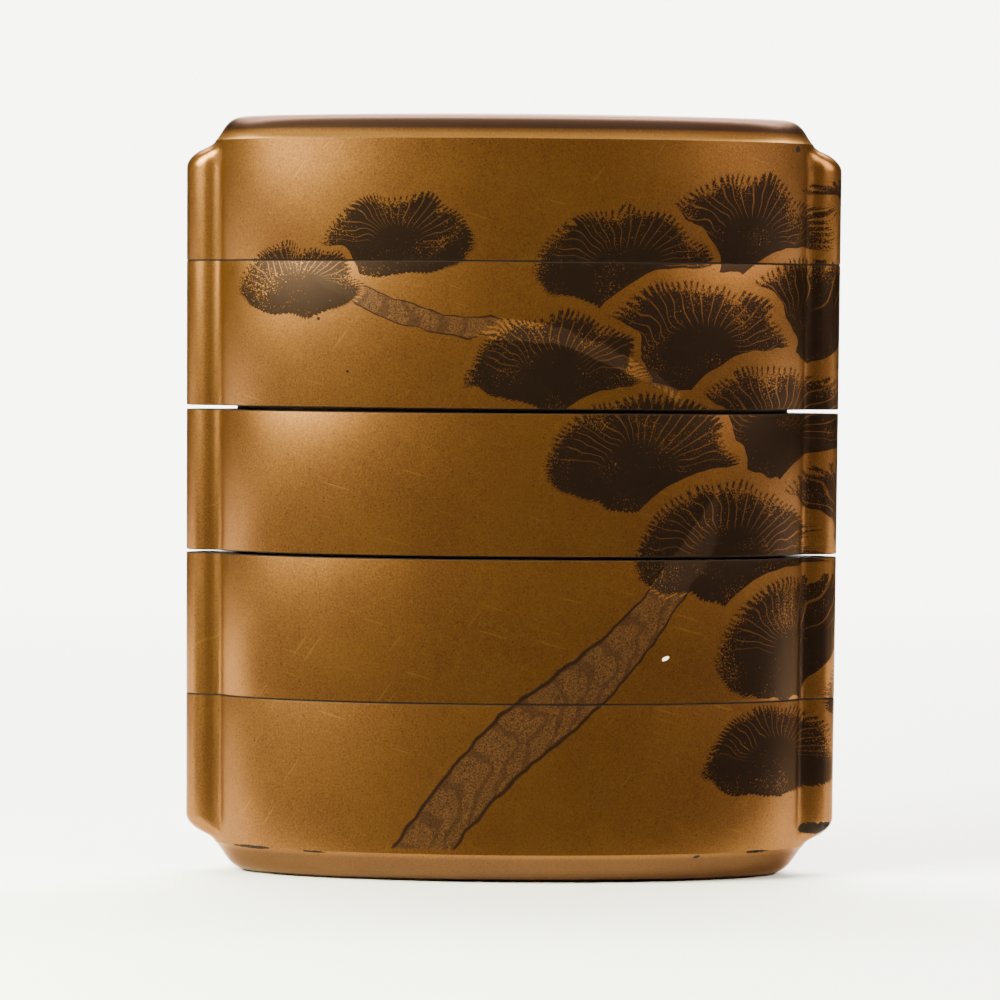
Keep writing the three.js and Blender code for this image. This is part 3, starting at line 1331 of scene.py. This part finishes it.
@dataclass
class Case(Tier):
    """A middle case: a socket below, a riser above and a cavity."""

    def rings(self) -> RingStack:
        """Lay the case's rings.

        Returns:
            The rings.
        """
        stack = RingStack()
        stack.add(Zone.INSIDE, self._pole(self.seat), self._oval(self.seat, SOCKET))
        stack.add(Zone.RISER, self._oval(0, SOCKET))
        stack.add(Zone.OUTSIDE, *self._eased(0, -1)[::-1])
        stack.add(Zone.OUTSIDE, *self._eased(self.height, 1))
        self._riser(stack, self.height, self.seat + WALLS.case_floor)
        return stack


@dataclass
class BaseCase(Tier):
    """The base: a flat underside and the lower moulding, then as a case."""

    def rings(self) -> RingStack:
        """Lay the base's rings.

        Returns:
            The rings.
        """
        stack = RingStack()
        stack.add(Zone.OUTSIDE, self._pole(0))
        stack.add(Zone.OUTSIDE, *self._moulding(ENDS.foot.rise, -1, ENDS.foot)[::-1])
        stack.add(Zone.OUTSIDE, *self._runner_end(ENDS.foot.rise, -1)[::-1])
        stack.add(Zone.OUTSIDE, *self._eased(self.height, 1))
        self._riser(stack, self.height, WALLS.base_floor)
        return stack


@dataclass
class Lid(Tier):
    """The lid: a socket with a step for the riser, a hollow over it and the upper moulding."""

    def rings(self) -> RingStack:
        """Lay the lid's rings.

        Returns:
            The rings.
        """
        stack = RingStack()
        edge = self.height - ENDS.crown - ENDS.lid.rise
        stack.add(Zone.INSIDE, *self._hollow(self.seat, self.height - WALLS.lid_ceiling)[::-1])
        stack.add(Zone.INSIDE, self._oval(self.seat, SOCKET))
        stack.add(Zone.RISER, self._oval(0, SOCKET))
        stack.add(Zone.OUTSIDE, *self._eased(0, -1)[::-1])
        stack.add(Zone.OUTSIDE, *self._runner_end(edge, 1))
        stack.add(Zone.OUTSIDE, *self._moulding(edge, 1, ENDS.lid))
        inner = Oval(PLAN.half_width, PLAN.half_depth).inset(ENDS.lid.inset)
        for part in ENDS.dome:
            dome = Oval(inner.a * part, inner.b * part)
            stack.add(Zone.OUTSIDE, self._oval(self.height - ENDS.crown * part * part, dome))
        stack.add(Zone.OUTSIDE, self._pole(self.height))
        return stack


@dataclass
class Inro:
    """The whole case: its tiers from the foot up."""

    finishes: Finishes = Finishes()

    @staticmethod
    def _chips() -> bpy.types.Object:
        """Mark the chips.

        Returns:
            An object with a point for every chip, and its half sizes as reach.
        """
        mesh = bpy.data.meshes.new("chips")
        mesh.from_pydata([tuple(part * MM for part in chip.middle) for chip in CHIPS], [], [])
        reach = mesh.attributes.new("reach", "FLOAT_VECTOR", "POINT")
        reach.data.foreach_set("vector", [part * MM for chip in CHIPS for part in chip.reach])
        return add_object("chips", mesh)

    def tiers(self, cutter: PlanCutter) -> list[Tier]:
        """Lay out the tiers.

        Args:
            cutter: what cuts their rings.

        Returns:
            The tiers, from the foot up.
        """
        wide, narrow, case = STACK.wide_seam_gap, STACK.narrow_seam_gap, STACK.case_height
        seat = WALLS.riser_height
        lower = STACK.base_height
        return [
            BaseCase("base_case", 0.0, STACK.base_height, 0.0, cutter),
            Case("lower_case", lower, case - narrow, seat, cutter),
            Case("middle_case", lower + case, case - wide, seat - narrow, cutter),
            Case("upper_case", lower + 2 * case, case, seat - wide, cutter),
            Lid("lid", lower + 3 * case, STACK.lid_height, seat, cutter),
        ]

    def build(self) -> None:
        """Make and dress every tier."""
        chips = self._chips()
        channels = ChannelCutter(self.finishes.build(), chips)
        for tier in self.tiers(PlanCutter(PLAN, ENDS.foot.inset + ENDS.spoke_room)):
            tier.dress(tier.build(channels))
        bpy.data.node_groups.remove(channels.tree)
        bpy.data.objects.remove(chips)


@dataclass(frozen=True)
class SoftBox:
    """One soft light: its bearing and elevation in degrees, its distance and size in metres."""

    name: str
    bearing: float
    elevation: float
    distance: float
    width: float
    height: float
    watts: float
    colour: Colour = (1.0, 1.0, 1.0)
    aim: tuple[float, float, float] | None = None

    def build(self, aim: Vector) -> None:
        """Add the light.

        Args:
            aim: the point it faces, in metres, if it has none of its own.
        """
        target = Vector(self.aim) if self.aim else aim
        turn, rise = math.radians(self.bearing), math.radians(self.elevation)
        level = math.cos(rise)
        way = Vector((math.sin(turn) * level, -math.cos(turn) * level, math.sin(rise)))
        data = bpy.data.lights.new(self.name, "AREA")
        data.shape, data.size, data.size_y = "RECTANGLE", self.width, self.height
        data.energy, data.color = self.watts, self.colour
        light = add_object(self.name, data)
        light.location = target + way * self.distance
        light.rotation_euler = (-way).to_track_quat("-Z", "Y").to_euler()


@dataclass(frozen=True)
class Studio:
    """Floor, lights, dark card and camera, in metres and degrees.

    A card row is its place to the back, its height and its half width. A wing is the places
    of its two ends, to the side and to the back.
    """

    aim: tuple[float, float, float] = (-0.00112, 0.0, 0.03553)
    camera_distance: float = 0.45
    camera_pitch: float = 2.12
    camera_roll: float = 0.45
    lens: float = 169.7
    sensor: float = 36.0
    clip: Pair = (0.01, 20.0)
    floor_front: float = -1.2
    floor_bend: float = 0.5
    bend_radius: float = 0.4
    bend_start: float = 0.1
    bend_steps: int = 12
    backdrop_top: float = 1.6
    floor_half_width: float = 1.8
    floor_drop: float = 0.00002
    floor_shade: float = 0.97
    floor_colour: Colour = srgb(244, 243, 240)
    world_level: float = 0.02
    card_colour: Colour = srgb(20, 16, 12)
    card_rows: Sequence[tuple[float, float, float]] = (
        (-0.017, 0.0005, 0.16),
        (-0.3, 0.012, 0.5),
        (-0.3, 0.012, 0.19),
        (-0.36, 0.6, 0.22),
    )
    wing: Sequence[Pair] = ((0.3, 0.1), (0.1, 0.3))
    wing_foot: float = 0.001
    wing_height: float = 0.25
    boxes: Sequence[SoftBox] = (
        SoftBox("left box", -54.0, 30.0, 0.3, 0.16, 0.14, 5.8, (0.95, 1.0, 0.76)),
        SoftBox("right box", 60.0, 30.0, 0.3, 0.2, 0.14, 1.5, (1.0, 0.93, 0.76)),
        SoftBox("top box", 0.0, 84.0, 0.8, 0.8, 0.5, 2.0),
        SoftBox("back box", 180.0, 50.0, 0.8, 1.0, 0.8, 10.0),
        SoftBox("backdrop box", 0.0, 60.0, 0.7, 1.4, 0.4, 60.0, aim=(0.0, 0.85, 0.3)),
    )

    def _floor(self) -> bpy.types.Object:
        """Make a floor that turns up into a backdrop.

        Returns:
            The floor.
        """
        start, radius, half = self.floor_bend, self.bend_radius, self.floor_half_width
        profile = [(self.floor_front, 0.0), (start, 0.0)]
        for turn in np.linspace(self.bend_start, math.pi / 2, self.bend_steps):
            profile.append((start + radius * math.sin(turn), radius - radius * math.cos(turn)))
        profile.append((start + radius, self.backdrop_top))
        points = [(x, y, z - self.floor_drop) for y, z in profile for x in (-half, half)]
        faces = [(2 * k, 2 * k + 1, 2 * k + 3, 2 * k + 2) for k in range(len(profile) - 1)]
        mesh = bpy.data.meshes.new("floor")
        mesh.from_pydata(points, [], faces)
        mesh.shade_smooth()
        shader = LacquerShader("pale floor")
        cloud = shader.noise(shader.place, 0.02, 2.0)
        low = tuple(part * self.floor_shade for part in self.floor_colour)
        colour = shader.mix(cloud, low, self.floor_colour)
        mesh.materials.append(
            shader.finish({"Base Color": colour, "Roughness": 0.6 + cloud * 0.1})
        )
        return add_object("floor", mesh)

    def _dark_card(self) -> bpy.types.Object:
        """Make the dark card, which only shows in reflections.

        Its middle darkens the middle of the front, and its wings darken the ends.

        Returns:
            The card.
        """
        points = [(side * half, y, z) for y, z, half in self.card_rows for side in (-1, 1)]
        faces = [(0, 1, 3, 2), (4, 5, 7, 6)]
        for side in (-1, 1):
            start = len(points)
            heights = (self.wing_foot, self.wing_height)
            points += [(side * x, y, z) for x, y in self.wing for z in heights]
            faces.append((start, start + 1, start + 3, start + 2))
        mesh = bpy.data.meshes.new("dark_card")
        mesh.from_pydata(points, [], faces)
        shader = LacquerShader("dark card")
        matt = {"Base Color": (*self.card_colour, 1.0), "Roughness": 0.9}
        mesh.materials.append(shader.finish(matt))
        card = add_object("dark_card", mesh)
        for rays in ("camera", "diffuse", "shadow", "transmission"):
            setattr(card, f"visible_{rays}", False)
        return card

    def _camera(self) -> None:
        """Add the camera at the photograph's angle."""
        data = bpy.data.cameras.new("camera")
        data.lens, data.sensor_width = self.lens, self.sensor
        data.clip_start, data.clip_end = self.clip
        camera = add_object("camera", data)
        pitch, roll = math.radians(self.camera_pitch), math.radians(self.camera_roll)
        way = Vector((0.0, -math.cos(pitch), math.sin(pitch)))
        place = Matrix.Translation(Vector(self.aim) + way * self.camera_distance)
        tilt = Matrix.Rotation(math.pi / 2 - pitch, 4, "X")
        camera.matrix_world = place @ tilt @ Matrix.Rotation(roll, 4, "Z")
        bpy.context.scene.camera = camera

    def _world(self) -> None:
        """Fill the room with a dim even light."""
        world = bpy.data.worlds.new("room")
        world.use_nodes = True
        nodes = Node(world.node_tree)
        level = self.world_level
        light = nodes.out("ShaderNodeBackground", sockets={0: (level, level, level, 1.0), 1: 1.0})
        nodes.add("ShaderNodeOutputWorld", sockets={0: light})
        bpy.context.scene.world = world

    def build(self) -> None:
        """Set everything up."""
        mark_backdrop(self._floor(), self._dark_card())
        for box in self.boxes:
            box.build(Vector(self.aim))
        self._world()
        self._camera()


def bounds_as_lists() -> Any:
    """Return the frame's bounds in plain lists."""
    return json.loads(json.dumps(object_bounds(), default=list))


def main() -> None:
    logging.basicConfig(level=logging.INFO, format="%(name)s: %(message)s")
    before = bounds_as_lists()
    Inro().build()
    Studio().build()
    after = bounds_as_lists()


if __name__ == "__main__":
    main()
